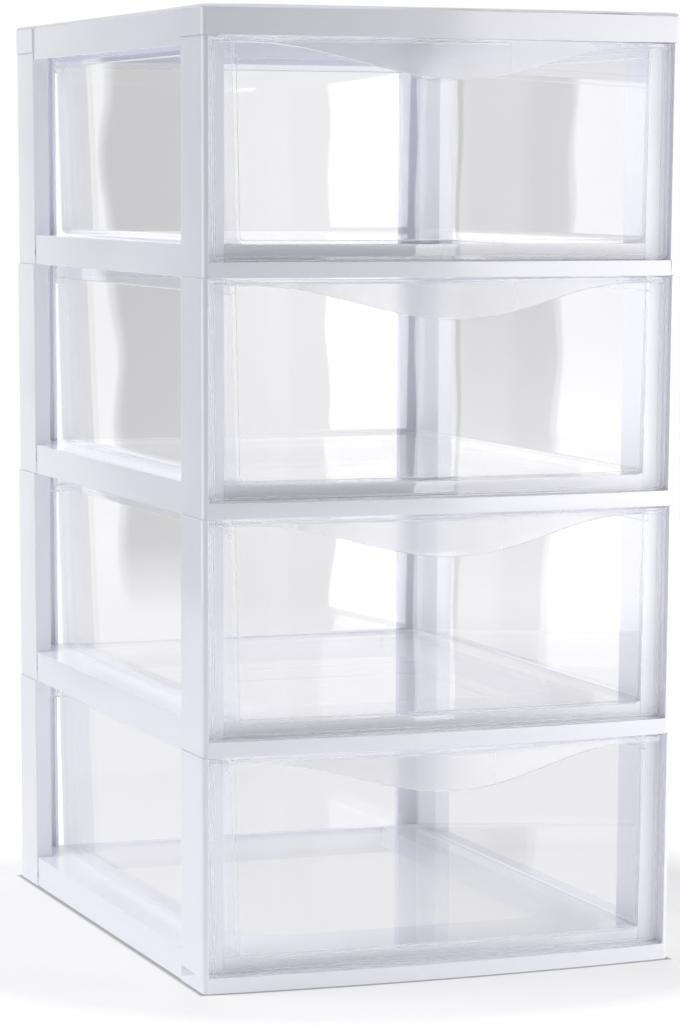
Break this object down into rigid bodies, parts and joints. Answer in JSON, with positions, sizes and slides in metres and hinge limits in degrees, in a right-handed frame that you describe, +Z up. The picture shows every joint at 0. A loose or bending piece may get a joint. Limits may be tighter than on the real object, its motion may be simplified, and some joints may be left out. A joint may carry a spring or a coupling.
{
  "type": "drawer tower",
  "caption": "Stacking plastic drawer tower: white open frames under a lid, each with a clear slide-out drawer with a bowed front and a wave-shaped hooded handle.",
  "frame": {"origin": "middle of the footprint on the floor, counted from the front of the drawer handles to the back of the lid", "axes": "+Z up, front and drawer opening towards -Y, +X to the right seen from the front"},
  "size_m": [0.2658, 0.364, 0.506],
  "materials": {
    "frame_white": "high gloss, moulded",
    "drawer_clear": "clear, glossy, moulded"
  },
  "bodies": {
    "frame": {"lid": "frame_white", "shelf_frame_1": "frame_white", "shelf_frame_2": "frame_white", "shelf_frame_3": "frame_white", "shelf_frame_4": "frame_white", "front_left_post_1": "frame_white", "front_left_post_2": "frame_white", "front_left_post_3": "frame_white", "front_left_post_4": "frame_white", "front_right_post_1": "frame_white", "front_right_post_2": "frame_white", "front_right_post_3": "frame_white", "front_right_post_4": "frame_white", "back_left_post_1": "frame_white", "back_left_post_2": "frame_white", "back_left_post_3": "frame_white", "back_left_post_4": "frame_white", "back_right_post_1": "frame_white", "back_right_post_2": "frame_white", "back_right_post_3": "frame_white", "back_right_post_4": "frame_white"},
    "drawer_1": {"drawer_1": "drawer_clear"},
    "drawer_2": {"drawer_2": "drawer_clear"},
    "drawer_3": {"drawer_3": "drawer_clear"},
    "drawer_4": {"drawer_4": "drawer_clear"}
  },
  "joints": [
    {"name": "drawer_1_slide", "type": "slide", "parent": "frame", "child": "drawer_1", "axis": [0, -1, 0], "range_m": [0, 0.278]},
    {"name": "drawer_2_slide", "type": "slide", "parent": "frame", "child": "drawer_2", "axis": [0, -1, 0], "range_m": [0, 0.278]},
    {"name": "drawer_3_slide", "type": "slide", "parent": "frame", "child": "drawer_3", "axis": [0, -1, 0], "range_m": [0, 0.278]},
    {"name": "drawer_4_slide", "type": "slide", "parent": "frame", "child": "drawer_4", "axis": [0, -1, 0], "range_m": [0, 0.278]}
  ]
}
